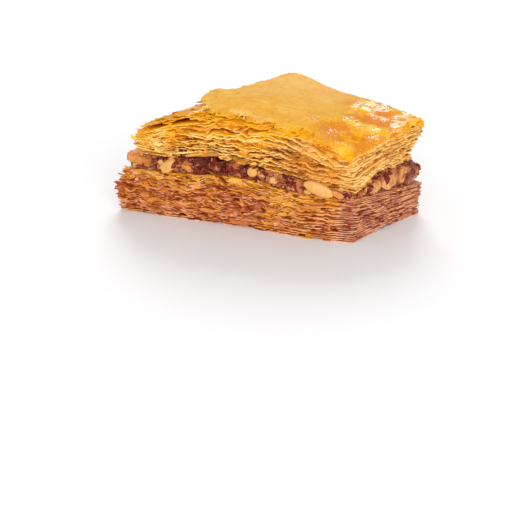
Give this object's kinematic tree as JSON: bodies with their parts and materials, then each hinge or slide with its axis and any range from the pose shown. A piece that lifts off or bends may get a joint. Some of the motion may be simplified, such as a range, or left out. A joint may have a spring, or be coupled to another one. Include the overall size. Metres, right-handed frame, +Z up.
{
  "type": "baklava",
  "caption": "Piece of baklava cut on the diagonal at the tray's edge: two stacks of thin pastry leaves with chopped nuts between them and a puffed golden crust.",
  "frame": {"origin": "middle of the flat base's box, on the surface the piece rests on", "axes": "+X along the long diagonal cut, from its acute corner to its obtuse one, -Y out of that cut, +Z up through the layers"},
  "size_m": [0.0894, 0.0586, 0.0355],
  "materials": {
    "soaked_pastry": "pastry leaves soaked in syrup: reddish amber, glossy where the syrup stands, paler at the leaves' edges",
    "chopped_nuts": "chopped nuts pressed together, dark purplish brown between paler tan pieces, slightly moist",
    "golden_pastry": "crisp baked pastry leaves, golden yellow with pale edges, the crust tan and matt with glossy orange patches of syrup"
  },
  "bodies": {
    "root": {"pastry_bottom": "soaked_pastry", "nut_filling": "chopped_nuts", "pastry_top": "golden_pastry"}
  },
  "joints": []
}
